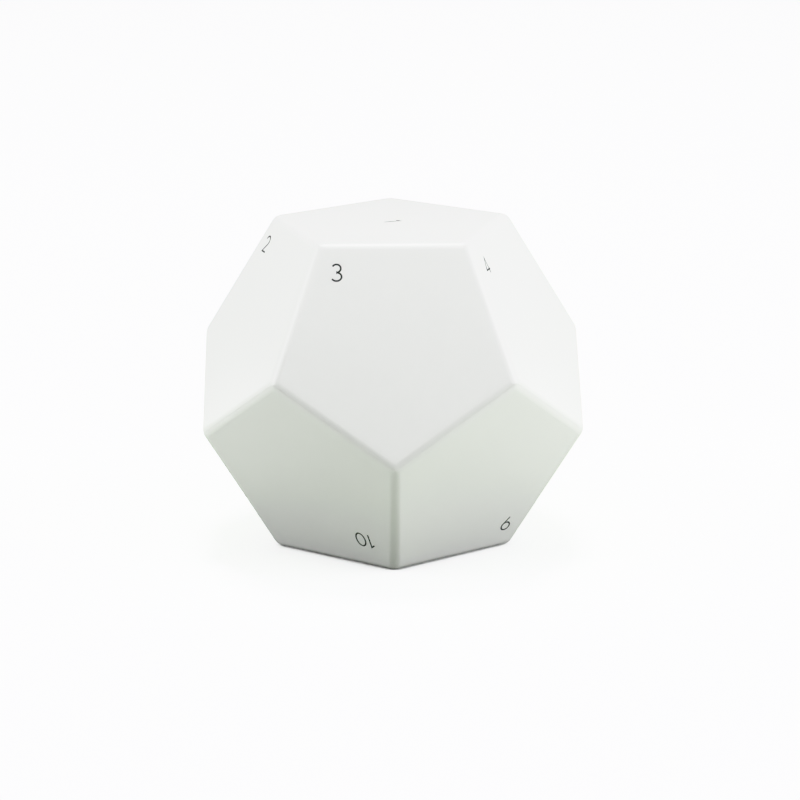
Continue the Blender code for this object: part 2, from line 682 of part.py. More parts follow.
def build():
    clear_scene()
    materials = {name: make_material(name) for name in FINISHES}
    lower_half = make_frame("lower_half_frame", (0, 0, INRADIUS))
    lift = make_frame("shell_lift_frame", (0, 0, 0), lower_half)
    upper_half = make_frame("shell_twist_frame", (0, 0, 0), lift)
    button_frame = make_frame("button_press_frame", (0, BUTTON_Y, 0), lower_half)

    finish_piece(make_upper_shell(), materials["shell"], upper_half)
    finish_piece(make_snap_collar(), materials["collar"], lift)
    finish_piece(make_lower_shell(), materials["shell"], lower_half)
    finish_piece(make_chassis(), materials["chassis"], lower_half)
    finish_piece(make_circuit_board(), materials["board"], lower_half)
    for name, size_x, size_y, size_z, x, y, gap, finish in CHIPS:
        chip = make_chip(name, (size_x, size_y, size_z), (x, y), gap)
        finish_piece(chip, materials[finish], lower_half)

    signs = ((1, 1), (-1, 1), (-1, -1), (1, -1))
    for number, (sign_x, sign_y) in enumerate(signs, start=1):
        top_light = make_light(f"top_light_{number}", sign_x * LIGHT_X, sign_y * LIGHT_Y, BOARD_TOP + SOLDER_GAP)
        finish_piece(top_light, materials["lens"], lower_half)
        bottom = BOARD_BOTTOM - SOLDER_GAP - LIGHT_SIZE[2]
        x, y = sign_x * LOWER_LIGHT_OFFSET, sign_y * LOWER_LIGHT_OFFSET
        finish_piece(make_light(f"bottom_light_{number}", x, y, bottom), materials["lens"], lower_half)

    finish_piece(make_switch_body(), materials["chip"], lower_half)
    plunger = disc("switch_plunger", PLUNGER_RADIUS, PLUNGER_BOTTOM, PLUNGER_TOP)
    finish_piece(plunger, materials["button"], button_frame)
    finish_piece(make_pairing_button(), materials["button"], button_frame)

    for name, y, direction in (("front_cell", -CELL_Y, 1), ("rear_cell", CELL_Y, -1)):
        cell = make_cell(name, direction)
        cell.location = (0, y, 0)
        finish_piece(cell, materials["cell"], lower_half)

    finish_piece(make_single_contact("positive_contact", -CELL_Y), materials["contact"], lower_half)
    finish_piece(make_single_contact("negative_contact", CELL_Y), materials["contact"], lower_half)
    finish_piece(make_bridge_contact(), materials["contact"], lower_half)
    finish_piece(make_spring("front_cell_spring", -1, -CELL_Y), materials["contact"], lower_half)
    finish_piece(make_spring("rear_cell_spring", 1, CELL_Y), materials["contact"], lower_half)

    for number, degrees in enumerate(SCREW_ANGLES, start=1):
        screw = make_screw(f"chassis_screw_{number}", CHASSIS_SCREW, SCREW_CIRCLE, degrees)
        finish_piece(screw, materials["screw"], lower_half)
    for number, degrees in enumerate(STANDOFF_ANGLES, start=1):
        screw = make_screw(f"board_screw_{number}", BOARD_SCREW, STANDOFF_CIRCLE, degrees)
        finish_piece(screw, materials["screw"], lower_half)


build()
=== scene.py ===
"""Looks for the twelve-sided remote: skins, printed numerals, dressed inner parts, stage and light."""

import math
import random

import bmesh
import bpy
from mathutils import Matrix, Vector


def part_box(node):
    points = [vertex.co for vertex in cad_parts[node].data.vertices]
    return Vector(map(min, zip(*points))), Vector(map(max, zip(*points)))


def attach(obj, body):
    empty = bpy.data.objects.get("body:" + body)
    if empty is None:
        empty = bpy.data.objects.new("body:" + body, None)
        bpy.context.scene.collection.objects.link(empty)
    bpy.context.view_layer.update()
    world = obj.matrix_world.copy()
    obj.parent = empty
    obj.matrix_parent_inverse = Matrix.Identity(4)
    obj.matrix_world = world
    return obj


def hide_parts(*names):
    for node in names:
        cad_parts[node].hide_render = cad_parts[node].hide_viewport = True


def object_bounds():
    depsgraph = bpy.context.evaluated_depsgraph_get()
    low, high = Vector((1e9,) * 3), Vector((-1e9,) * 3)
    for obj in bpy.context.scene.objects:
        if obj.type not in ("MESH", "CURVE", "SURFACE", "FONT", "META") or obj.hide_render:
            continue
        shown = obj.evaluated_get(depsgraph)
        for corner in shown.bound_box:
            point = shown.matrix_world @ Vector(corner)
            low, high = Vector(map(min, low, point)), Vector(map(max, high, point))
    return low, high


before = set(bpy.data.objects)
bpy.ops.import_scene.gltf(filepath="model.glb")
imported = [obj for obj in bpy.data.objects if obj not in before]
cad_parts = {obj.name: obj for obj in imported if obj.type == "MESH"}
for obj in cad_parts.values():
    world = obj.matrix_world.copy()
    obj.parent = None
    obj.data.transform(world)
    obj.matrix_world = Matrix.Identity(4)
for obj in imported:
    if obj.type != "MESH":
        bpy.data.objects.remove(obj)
CAD_LOW, CAD_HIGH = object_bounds()

MM = 0.001
GOLDEN = (1 + math.sqrt(5)) / 2
INRADIUS = (CAD_HIGH.z - CAD_LOW.z) / 2
CENTRE = Vector((0, 0, CAD_LOW.z + INRADIUS))
FACE_TILT = math.atan(2)  # angle between neighbouring face normals
SIDE_STEP = 72  # degrees between the five faces or corners of a ring
UPPER_CORNER = 18  # azimuth of the first corner of the cap's and the upper belt's rings
LOWER_CORNER = 54  # and of the lower belt's and the rest face's rings

# Skin
WALL = 2 * MM
EDGE_FILLET = 2.6 * MM
FILLET_SEGMENTS = 10
SEAM_GAP = 0.03 * MM
BELT_REACH = 1.4  # how far the seam's cutting shape goes out, in belt radii
SLIVER = 0.001 * MM  # shorter edges are Boolean leftovers

# Collar fins
FIN_THICKNESS = 1.6 * MM
FIN_LEDGE = 1.2 * MM
FIN_OVERHANG = 4.8 * MM
FIN_GAP = 0.3 * MM

# Screw posts
POST_RADIUS = 3 * MM
POST_DROP = 3.4 * MM  # from a screw's head down to its post
PILOT_RADIUS = 1.15 * MM
RIB_THICKNESS = 1.2 * MM

# Numerals: cap height, stroke width, print thickness and the number's centre in its face's own axes
FIGURE_HEIGHT = 4.0 * MM
FIGURE_STROKE = 0.36 * MM
PRINT_PROUD = 0.012 * MM
PRINT_DEPTH = 0.05 * MM
UPPER_CENTRE = (-12.1 * MM, 15.8 * MM)
LOWER_CENTRE = (-12.3 * MM, 15.15 * MM)
PAIR_CENTRE = (-10.75 * MM, 14.3 * MM)
CENTRAL_TURN = -71  # degrees by which the top and rest faces' numbers are turned
FIGURE_SPACING = 0.33  # between two digits, in units of the height

# Face number: azimuth of its centre
UPPER_FACES = {2: 198, 3: 270, 4: 342, 5: 54, 6: 126}
LOWER_FACES = {11: 162, 10: 234, 9: 306, 8: 18, 7: 90}


# ---------------------------------------------------------------- mesh tools

def polar(radius, degrees, height=0.0):
    angle = math.radians(degrees)
    return Vector((radius * math.cos(angle), radius * math.sin(angle), height))


def block(low, high):
    """Return a box between two corners."""
    bm = bmesh.new()
    bmesh.ops.create_cube(bm, size=1)
    low, high = Vector(low), Vector(high)
    bmesh.ops.scale(bm, vec=high - low, verts=bm.verts)
    bmesh.ops.translate(bm, vec=(low + high) / 2, verts=bm.verts)
    return bm


def turned(profile, at=(0, 0), segments=48):
    """Return a closed solid of revolution about a vertical axis from (radius, height) pairs."""
    bm = bmesh.new()
    rings = []
    for radius, height in profile:
        count = segments if radius > 0 else 1
        points = [polar(radius, 360 * k / count, height) for k in range(count)]
        rings.append([bm.verts.new((at[0] + p.x, at[1] + p.y, p.z)) for p in points])
    for lower, upper in zip(rings, rings[1:]):
        for k in range(segments):
            after = (k + 1) % segments
            corners = [lower[k % len(lower)], lower[after % len(lower)]]
            corners += [upper[after % len(upper)], upper[k % len(upper)]]
            bm.faces.new(list(dict.fromkeys(corners)))
    for ring in (rings[0], rings[-1]):
        if len(ring) > 1:
            bm.faces.new(ring)
    return bm


def turned_ring(loop, at=(0, 0), segments=48):
    """Return a ring whose cross-section is a closed loop of (radius, height) pairs."""
    bm = bmesh.new()
    rings = []
    for k in range(segments):
        points = [polar(radius, 360 * k / segments, height) for radius, height in loop]
        rings.append([bm.verts.new((at[0] + p.x, at[1] + p.y, p.z)) for p in points])
    for here, after in zip(rings, rings[1:] + rings[:1]):
        for k in range(len(loop)):
            following = (k + 1) % len(loop)
            bm.faces.new((here[k], after[k], after[following], here[following]))
    return bm


def prism(outline, bottom, top):
    """Return a vertical prism over an outline of (x, y) pairs."""
    bm = bmesh.new()
    face = bm.faces.new([bm.verts.new((x, y, bottom)) for x, y in outline])
    grown = bmesh.ops.extrude_face_region(bm, geom=[face])
    raised = [item for item in grown["geom"] if isinstance(item, bmesh.types.BMVert)]
    bmesh.ops.translate(bm, vec=(0, 0, top - bottom), verts=raised)
    return bm


def rounded_rectangle(low, high, radius, steps=5):
    """Return the outline of a rectangle with round corners, counter-clockwise."""
    corners = (
        (high[0] - radius, high[1] - radius, 0),
        (low[0] + radius, high[1] - radius, 90),
        (low[0] + radius, low[1] + radius, 180),
        (high[0] - radius, low[1] + radius, 270),
    )
    outline = []
    for x, y, start in corners:
        for step in range(steps + 1):
            point = polar(radius, start + 90 * step / steps)
            outline.append((x + point.x, y + point.y))
    return outline


def tube(path, radius, sides=12):
    """Return a round bar swept along a path of points, closed at both ends."""
    bm = bmesh.new()
    points = [Vector(p) for p in path]
    side = None
    rings = []
    for k, point in enumerate(points):
        along = (points[min(k + 1, len(points) - 1)] - points[max(k - 1, 0)]).normalized()
        side = along.orthogonal() if side is None else side - along * side.dot(along)
        side.normalize()
        other = along.cross(side)
        angles = [2 * math.pi * step / sides for step in range(sides)]
        rim = [side * math.cos(a) + other * math.sin(a) for a in angles]
        rings.append([bm.verts.new(point + way * radius) for way in rim])
    for here, after in zip(rings, rings[1:]):
        for k in range(sides):
            bm.faces.new((here[k], here[(k + 1) % sides], after[(k + 1) % sides], after[k]))
    bm.faces.new(rings[0])
    bm.faces.new(rings[-1])
    return bm


class Piece:
    """An object put together from closed shapes, each with one of the piece's materials."""

    def __init__(self, name, *materials):
        self.name = name
        self.materials = materials
        self.bm = bmesh.new()

    def add(self, shape, material=0, bevel=0.0, matrix=None, segments=2):
        """Take in a bmesh, with its sharp edges rounded, under one material."""
        bmesh.ops.recalc_face_normals(shape, faces=shape.faces)
        if bevel:
            sharp = [edge for edge in shape.edges if edge.calc_face_angle(0) > math.radians(35)]
            bmesh.ops.bevel(
                shape, geom=sharp, offset=bevel, segments=segments, profile=0.5, affect="EDGES"
            )
        if matrix is not None:
            bmesh.ops.transform(shape, matrix=matrix, verts=shape.verts)
        for face in shape.faces:
            face.material_index = material
        mesh = bpy.data.meshes.new("shape")
        shape.to_mesh(mesh)
        shape.free()
        self.bm.from_mesh(mesh)
        bpy.data.meshes.remove(mesh)

    def object(self):
        """Return the linked object, smooth apart from its sharp edges."""
        mesh = bpy.data.meshes.new(self.name)
        self.bm.to_mesh(mesh)
        self.bm.free()
        for material in self.materials:
            mesh.materials.append(material)
        mesh.shade_smooth()
        mesh.set_sharp_from_angle(angle=math.radians(32))
        obj = bpy.data.objects.new(self.name, mesh)
        bpy.context.scene.collection.objects.link(obj)
        return obj

    def finish(self, body, node=None):
        """Make the object, put it on its body, and let it stand for a CAD node if one is named."""
        obj = self.object()
        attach(obj, body)
        if node:
            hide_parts(node)
        return obj


def solid(shape, *materials):
    """Return a working object made of one shape."""
    piece = Piece("solid", *materials)
    piece.add(shape)
    return piece.object()


def combine(target, tool, operation="DIFFERENCE"):
    """Apply a Boolean between two objects to the first and remove the second."""
    modifier = target.modifiers.new("combine", "BOOLEAN")
    modifier.operation = operation
    modifier.object = tool
    depsgraph = bpy.context.evaluated_depsgraph_get()
    result = bpy.data.meshes.new_from_object(target.evaluated_get(depsgraph))
    target.modifiers.remove(modifier)
    target.data = result
    bpy.data.objects.remove(tool, do_unlink=True)


def taken_shape(obj):
    """Return an object's mesh as a bmesh, without Boolean slivers, and remove the object."""
    bm = bmesh.new()
    bm.from_mesh(obj.data)
    bpy.data.objects.remove(obj, do_unlink=True)
    bmesh.ops.remove_doubles(bm, verts=bm.verts, dist=SLIVER)
    bmesh.ops.dissolve_degenerate(bm, dist=SLIVER, edges=bm.edges)
    return bm


def middle(node):
    """Return the centre of a CAD node's box."""
    low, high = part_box(node)
    return (low + high) / 2


# ---------------------------------------------------------------- materials

class Shader:
    """A Principled material with short calls for its procedural inputs."""

    def __init__(self, name, colour, roughness, metallic=0.0):
        self.material = bpy.data.materials.new(name)
        self.material.use_nodes = True
        self.material.diffuse_color = (*colour, 1)
        self.tree = self.material.node_tree
        self.surface = self.tree.nodes["Principled BSDF"]
        self.colour = colour
        self.set("Base Color", (*colour, 1))
        self.set("Roughness", roughness)
        self.set("Metallic", metallic)
        self.place = self.node("ShaderNodeTexCoord").outputs["Object"]

    def set(self, socket, value):
        self.surface.inputs[socket].default_value = value

    def node(self, kind, **inputs):
        made = self.tree.nodes.new(kind)
        for key, value in inputs.items():
            socket = made.inputs[key.replace("_", " ")]
            if isinstance(value, bpy.types.NodeSocket):
                self.tree.links.new(value, socket)
            else:
                socket.default_value = value
        return made

    def link(self, output, socket):
        self.tree.links.new(output, self.surface.inputs[socket])

    def noise(self, size, detail=3.0, stretch=(1, 1, 1)):
        """Return a noise pattern whose features are about this many metres across."""
        mapped = self.node("ShaderNodeMapping", Vector=self.place, Scale=stretch)
        vector = mapped.outputs["Vector"]
        made = self.node("ShaderNodeTexNoise", Vector=vector, Scale=1 / size, Detail=detail)
        return made.outputs["Fac"]

    def ramp(self, factor, low, high, start=0.3, end=0.7):
        """Return a factor turned into a value or a colour between low and high."""
        made = self.node("ShaderNodeValToRGB", Fac=factor)
        for element, position, value in zip(made.color_ramp.elements, (start, end), (low, high)):
            element.position = position
            element.color = (*value, 1) if isinstance(value, tuple) else (value, value, value, 1)
        return made.outputs["Color"]

    def vary_colour(self, size, amount):
        """Shade the base colour up and down in soft patches."""
        darker = tuple(c * (1 - amount) for c in self.colour)
        lighter = tuple(min(1.0, c * (1 + amount)) for c in self.colour)
        self.link(self.ramp(self.noise(size), darker, lighter), "Base Color")

    def vary_roughness(self, size, low, high):
        self.link(self.ramp(self.noise(size, 4.0), low, high), "Roughness")

    def bump(self, height, distance):
        made = self.node("ShaderNodeBump", Height=height, Distance=distance, Strength=1.0)
        self.link(made.outputs["Normal"], "Normal")


def skin_material():
    """White satin moulded plastic with a fine etched grain."""
    shader = Shader("skin_white", (0.835, 0.84, 0.825), 0.33)
    shader.vary_colour(30 * MM, 0.006)
    shader.vary_roughness(6 * MM, 0.31, 0.36)
    shader.set("IOR", 1.47)
    shader.bump(shader.noise(0.18 * MM, 2.0), 0.004 * MM)
    return shader.material


def plastic(name, colour, roughness, grain=0.15 * MM, relief=0.006 * MM, variation=0.03):
    """Moulded plastic or epoxy: soft patches of shade, uneven gloss and a fine grain."""
    shader = Shader(name, colour, roughness)
    shader.vary_colour(3 * MM, variation)
    shader.vary_roughness(1.5 * MM, roughness - 0.05, roughness + 0.08)
    shader.bump(shader.noise(grain, 2.0), relief)
    return shader.material


def metal(name, colour, roughness, stretch=(1, 1, 1), scratches=0.08 * MM):
    """Plated metal: fine lines along the rolling direction, and a faint cloudiness."""
    shader = Shader(name, colour, roughness, 1.0)
    shader.vary_colour(1.2 * MM, 0.03)
    lines = shader.noise(scratches, 3.0, stretch)
    shader.link(shader.ramp(lines, roughness - 0.03, roughness + 0.08), "Roughness")
    shader.bump(lines, 0.0012 * MM)
    return shader.material


def board_material():
    """Glass-epoxy board under green mask: the weave shows faintly through it."""
    shader = Shader("board_green", (0.025, 0.17, 0.08), 0.3)
    warp = shader.node("ShaderNodeTexWave", Vector=shader.place, Scale=700.0, Distortion=0.4)
    weft = shader.node("ShaderNodeTexWave", Vector=shader.place, Scale=700.0, Distortion=0.4)
    weft.bands_direction = "Y"
    weave = shader.node("ShaderNodeMath")
    weave.operation = "MULTIPLY"
    shader.tree.links.new(warp.outputs["Fac"], weave.inputs[0])
    shader.tree.links.new(weft.outputs["Fac"], weave.inputs[1])
    pattern = weave.outputs["Value"]
    shader.link(shader.ramp(pattern, (0.02, 0.15, 0.07), (0.03, 0.19, 0.09), 0, 1), "Base Color")
    shader.bump(pattern, 0.004 * MM)
    shader.vary_roughness(4 * MM, 0.25, 0.38)
    return shader.material


def make_materials():
    return {
        "skin": skin_material(),
        "ink": plastic("ink_grey", (0.055, 0.057, 0.055), 0.55, 0.1 * MM, 0.002 * MM, 0.12),
        "tray": plastic("tray_white", (0.68, 0.69, 0.68), 0.46),
        "collar": plastic("collar_grey", (0.50, 0.52, 0.54), 0.36, 0.4 * MM, 0.002 * MM),
        "board": board_material(),
        "copper": plastic("masked_copper", (0.05, 0.26, 0.13), 0.3, 0.3 * MM, 0.002 * MM),
        "gold": metal("pad_gold", (0.80, 0.62, 0.28), 0.28),
        "solder": metal("solder_tin", (0.70, 0.70, 0.69), 0.24, scratches=0.3 * MM),
        "legend": plastic("legend_white", (0.80, 0.80, 0.78), 0.6, 0.1 * MM, 0.002 * MM),
        "chip": plastic("chip_black", (0.022, 0.022, 0.024), 0.5, 0.05 * MM, 0.004 * MM, 0.1),
        "ceramic": plastic("light_body_white", (0.78, 0.77, 0.72), 0.4),
        "phosphor": plastic("phosphor_yellow", (0.78, 0.60, 0.10), 0.3, 0.05 * MM, 0.002 * MM, 0.06),
        "epoxy": plastic("capacitor_tan", (0.50, 0.30, 0.08), 0.42),
        "shield": metal("shield_tin", (0.66, 0.66, 0.64), 0.30, (1, 12, 1)),
        "steel": metal("contact_nickel", (0.74, 0.73, 0.70), 0.24, (1, 1, 14)),
        "wire": metal("spring_wire", (0.66, 0.65, 0.63), 0.22, scratches=0.3 * MM),
        "zinc": metal("screw_zinc", (0.52, 0.53, 0.55), 0.30, scratches=0.2 * MM),
        "can": metal("cell_can", (0.70, 0.70, 0.70), 0.26, scratches=0.4 * MM),
        "wrap": wrap_material("cell_wrap", (0.05, 0.13, 0.22)),
        "band": wrap_material("cell_band", (0.62, 0.64, 0.66)),
        "washer": plastic("insulating_washer", (0.72, 0.70, 0.64), 0.7, 0.2 * MM, 0.01 * MM),
        "rubber": plastic("button_grey", (0.16, 0.17, 0.18), 0.62, 0.1 * MM, 0.008 * MM, 0.05),
    }


def wrap_material(name, colour):
    """Shrunk printed film over a metal can: a soft gloss, with faint ripples along the cell."""
    shader = Shader(name, colour, 0.36, 0.1)
    shader.vary_colour(8 * MM, 0.015)
    shader.vary_roughness(6 * MM, 0.34, 0.38)
    shader.bump(shader.noise(3 * MM, 1.0, (0.15, 1, 1)), 0.002 * MM)
    return shader.material


# ---------------------------------------------------------------- skins

def corner_rings(inradius):
    """Return a dodecahedron's corners about the origin, as four rings of five from top to bottom."""
    cap_radius = 2 * inradius / GOLDEN ** 2
    belt_radius = 2 * inradius / GOLDEN
    belt_height = inradius / GOLDEN ** 3
    rings = (
        (cap_radius, UPPER_CORNER, inradius),
        (belt_radius, UPPER_CORNER, belt_height),
        (belt_radius, LOWER_CORNER, -belt_height),
        (cap_radius, LOWER_CORNER, -inradius),
    )
    return [[polar(r, start + SIDE_STEP * k, h) for k in range(5)] for r, start, h in rings]


def dodecahedron(inradius, fillet=0.0):
    """Return a dodecahedron that stands on a face, with round edges if a fillet radius is given."""
    bm = bmesh.new()
    top, upper, lower, rest = [[bm.verts.new(p) for p in ring] for ring in corner_rings(inradius)]
    bm.faces.new(top)
    bm.faces.new(rest)
    for k in range(5):
        after = (k + 1) % 5
        bm.faces.new((top[k], upper[k], lower[k], upper[after], top[after]))
        bm.faces.new((upper[k], lower[k - 1], rest[k - 1], rest[k], lower[k]))
    bmesh.ops.recalc_face_normals(bm, faces=bm.faces)
    if fillet:
        setback = fillet * math.tan(FACE_TILT / 2)
        bmesh.ops.bevel(
            bm, geom=bm.edges[:], offset=setback, segments=FILLET_SEGMENTS, profile=0.5, affect="EDGES"
        )
    return bm


def half_space(side):
    """Return the space above (side 1) or below (side -1) the zigzag seam."""
    bm = bmesh.new()
    _, upper, lower, _ = corner_rings(INRADIUS)
    belt = [point for pair in zip(upper, lower) for point in pair]
    shift = Vector((0, 0, side * SEAM_GAP / 2))
    apex = bm.verts.new(shift)
    near = [bm.verts.new(point * BELT_REACH + shift) for point in belt]
    far = [bm.verts.new((p.x * BELT_REACH, p.y * BELT_REACH, side * 2 * INRADIUS)) for p in belt]
    for k in range(10):
        after = (k + 1) % 10
        bm.faces.new((apex, near[k], near[after]))
        bm.faces.new((near[k], near[after], far[after], far[k]))
    bm.faces.new(far)
    return bm


def standing_plate(outline, thickness, degrees):
    """Return a plate that stands on a radius: its outline is (radius, height) pairs, at an azimuth."""
    plate = prism(outline, -thickness / 2, thickness / 2)
    matrix = Matrix.Rotation(math.radians(degrees), 4, "Z") @ Matrix.Rotation(math.pi / 2, 4, "X")
    bmesh.ops.transform(plate, matrix=matrix, verts=plate.verts)
    return plate


def collar_fins():
    """Return the five C-shaped fins that hold the collar; they run out through the wall."""
    low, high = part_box("snap_collar")
    outer = high.x
    bottom, top = low.z - CENTRE.z, high.z - CENTRE.z
    reach = INRADIUS + 4 * MM
    lower_ledge = outer - FIN_LEDGE / 2
    upper_ledge = outer - FIN_LEDGE
    outline = (
        (lower_ledge, bottom - FIN_LEDGE),
        (reach, bottom - FIN_LEDGE),
        (reach, top + FIN_OVERHANG),
        (upper_ledge, top + FIN_OVERHANG),
        (upper_ledge, top + FIN_GAP),
        (outer + FIN_GAP, top + FIN_GAP),
        (outer + FIN_GAP, bottom - FIN_GAP),
        (lower_ledge, bottom - FIN_GAP),
    )
    azimuths = [LOWER_CORNER + SIDE_STEP * k for k in range(5)]
    return [solid(standing_plate(outline, FIN_THICKNESS, azimuth)) for azimuth in azimuths]


def screw_posts():
    """Return the three screw posts, each with its pilot hole and gusset rib."""
    posts = []
    foot = -2 * INRADIUS
    for number in (1, 2, 3):
        centre = middle(f"chassis_screw_{number}")
        screw_low, screw_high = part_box(f"chassis_screw_{number}")
        top = screw_high.z - CENTRE.z - POST_DROP
        pilot_bottom = screw_low.z - CENTRE.z - 2 * MM
        chamfer = 0.3 * MM
        profile = [(POST_RADIUS, foot), (POST_RADIUS, top - chamfer), (POST_RADIUS - chamfer, top)]
        post = solid(turned(profile, centre, 32))
        radius = Vector((centre.x, centre.y)).length
        azimuth = math.degrees(math.atan2(centre.y, centre.x))
        rib_top = top - 1.5 * MM
        reach = radius + 14 * MM
        outline = ((radius, foot), (reach, foot), (reach, rib_top), (radius, rib_top))
        combine(post, solid(standing_plate(outline, RIB_THICKNESS, azimuth)), "UNION")
        combine(post, solid(turned([(PILOT_RADIUS, pilot_bottom), (PILOT_RADIUS, 0)], centre, 32)))
        posts.append(post)
    return posts


def make_skin(name, side, node, body, features, materials):
    """Make one half of the skin, with inner features that grow out of its wall."""
    hollow = solid(dodecahedron(INRADIUS - WALL))
    for feature in features:
        combine(hollow, feature)
    skin = solid(dodecahedron(INRADIUS, EDGE_FILLET))
    combine(skin, hollow)
    combine(skin, solid(half_space(side)), "INTERSECT")
    piece = Piece(name, materials["skin"])
    piece.add(taken_shape(skin), matrix=Matrix.Translation(CENTRE))
    piece.finish(body, node)


# ---------------------------------------------------------------- numerals

def arc(x, y, radius_x, radius_y, start, end, steps=24):
    """Return points along part of an ellipse, from one angle in degrees to another."""
    points = []
    for step in range(steps + 1):
        angle = math.radians(start + (end - start) * step / steps)
        points.append((x + radius_x * math.cos(angle), y + radius_y * math.sin(angle)))
    return points


def figure_strokes(digit):
    """Return a digit's strokes as lists of points, in units of its height, and its width."""
    half = 0.5
    if digit == "0":
        return [arc(0.32, half, 0.32, half, 0, 360, 40)], 0.64
    if digit == "1":
        return [[(0.0, 0.82), (0.24, 1.0), (0.24, 0.0)]], 0.24
    if digit == "2":
        head = arc(0.29, 0.71, 0.29, 0.29, 165, -38)
        return [head + [(0.02, 0.0), (0.60, 0.0)]], 0.60
    if digit == "3":
        upper = arc(0.29, 0.755, 0.255, 0.245, 150, -90)
        lower = arc(0.29, 0.255, 0.30, 0.255, 90, -150)
        return [upper + lower], 0.60
    if digit == "4":
        return [[(0.46, 0.0), (0.46, 1.0), (0.0, 0.26), (0.64, 0.26)]], 0.64
    if digit == "5":
        bowl = arc(0.28, 0.315, 0.31, 0.315, 128, -150)
        return [[(0.53, 1.0), (0.12, 1.0)] + bowl], 0.60
    if digit == "6":
        return [arc(0.30, 0.30, 0.30, 0.30, 0, 360, 40), [(0.42, 1.0), (0.047, 0.462)]], 0.60
    if digit == "7":
        return [[(0.0, 1.0), (0.58, 1.0), (0.17, 0.0)]], 0.58
    if digit == "8":
        upper = arc(0.30, 0.755, 0.245, 0.245, 0, 360, 36)
        lower = arc(0.30, 0.26, 0.30, 0.26, 0, 360, 40)
        return [upper, lower], 0.60
    tail = [(0.18, 0.0), (0.553, 0.538)]
    return [arc(0.30, 0.70, 0.30, 0.30, 0, 360, 40), tail], 0.60


def stroke_sides(points, closed, width):
    """Return the left and right offsets of a path at each of its points, mitred at its bends."""
    left, right = [], []
    count = len(points)
    for k, point in enumerate(points):
        before = points[k - 1] if k or closed else None
        after = points[(k + 1) % count] if k < count - 1 or closed else None
        into = (point - before).normalized() if before is not None else (after - point).normalized()
        out = (after - point).normalized() if after is not None else into
        along = (into + out).normalized()
        normal = Vector((-along.y, along.x))
        reach = width / 2 / max(0.45, normal.dot(Vector((-into.y, into.x))))
        left.append(point + normal * reach)
        right.append(point - normal * reach)
    return left, right


def strip(path, width, bottom, top):
    """Return a flat bar of rectangular section that follows a path in the XY plane."""
    points = [Vector(p) for p in path]
    closed = (points[0] - points[-1]).length < 1e-9
    if closed:
        points.pop()
    bm = bmesh.new()
    rows = []
    for a, b in zip(*stroke_sides(points, closed, width)):
        corners = ((a, top), (b, top), (b, bottom), (a, bottom))
        rows.append([bm.verts.new((p.x, p.y, z)) for p, z in corners])
    spans = list(zip(rows, rows[1:]))
    if closed:
        spans.append((rows[-1], rows[0]))
    else:
        bm.faces.new(rows[0])
        bm.faces.new(rows[-1])
    for here, after in spans:
        for k in range(4):
            bm.faces.new((here[k], here[(k + 1) % 4], after[(k + 1) % 4], after[k]))
    return bm


def face_matrix(number):
    """Return the matrix from a face's own axes (x right, y up, z out) to the world."""
    if number in (1, 12):
        up = 1 if number == 1 else -1
        basis = Matrix.Rotation(0 if up > 0 else math.pi, 4, "Y")
    else:
        upper = number in UPPER_FACES
        azimuth = UPPER_FACES[number] if upper else LOWER_FACES[number]
        tilt = FACE_TILT if upper else math.pi - FACE_TILT
        spin = Matrix.Rotation(0 if upper else math.pi, 4, "Z")
        turn = Matrix.Rotation(math.radians(azimuth + 90), 4, "Z")
        basis = turn @ Matrix.Rotation(tilt, 4, "X") @ spin
    return Matrix.Translation(CENTRE) @ basis @ Matrix.Translation((0, 0, INRADIUS))


def number_place(number):
    """Return a number's place on its face: near a corner, or turned at the centre on faces 1 and 12."""
    if number in (1, 12):
        return Matrix.Rotation(math.radians(CENTRAL_TURN), 4, "Z")
    if number >= 10:
        return Matrix.Translation((*PAIR_CENTRE, 0))
    return Matrix.Translation((*(UPPER_CENTRE if number in UPPER_FACES else LOWER_CENTRE), 0))


def make_numeral(number, material):
    """Print a number on its face."""
    strokes = []
    advance = 0.0
    for digit in str(number):
        drawn, width = figure_strokes(digit)
        strokes += [[(x + advance, y) for x, y in path] for path in drawn]
        advance += width + FIGURE_SPACING
    total = advance - FIGURE_SPACING
    scale = FIGURE_HEIGHT - FIGURE_STROKE
    matrix = face_matrix(number) @ number_place(number)
    piece = Piece(f"numeral_{number}", material)
    for path in strokes:
        scaled = [((x - total / 2) * scale, (y - 0.5) * scale) for x, y in path]
        piece.add(strip(scaled, FIGURE_STROKE, -PRINT_DEPTH, PRINT_PROUD), matrix=matrix)
    piece.finish("upper_half" if number <= 6 else "lower_half")


# ---------------------------------------------------------------- battery parts

def make_collar(materials):
    low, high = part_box("snap_collar")
    outer, inner, groove = high.x, high.x - 1.4 * MM, high.x - 0.9 * MM
    loop = (
        (inner, low.z),
        (outer, low.z),
        (outer, high.z),
        (inner, high.z),
        (inner, high.z - 0.8 * MM),
        (groove, high.z - 0.9 * MM),
        (groove, low.z + 0.9 * MM),
        (inner, low.z + 0.8 * MM),
    )
    piece = Piece("collar_ring", materials["collar"])
    piece.add(turned_ring(loop, segments=160), bevel=0.15 * MM)
    piece.finish("snap_collar", "snap_collar")


def make_tray(materials):
    """Refine the CAD chassis: weld it, merge its flats and round its edges."""
    bm = bmesh.new()
    bm.from_mesh(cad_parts["chassis"].data)
    bmesh.ops.remove_doubles(bm, verts=bm.verts, dist=0.002 * MM)
    bmesh.ops.dissolve_limit(bm, angle_limit=math.radians(0.5), verts=bm.verts, edges=bm.edges)
    piece = Piece("battery_tray", materials["tray"])
    piece.add(bm)
    tray = piece.finish("lower_half", "chassis")
    bevel = tray.modifiers.new("soft_edges", "BEVEL")
    bevel.width = 0.18 * MM
    bevel.segments = 2
    bevel.limit_method = "ANGLE"
    bevel.angle_limit = math.radians(50)
    bevel.harden_normals = True


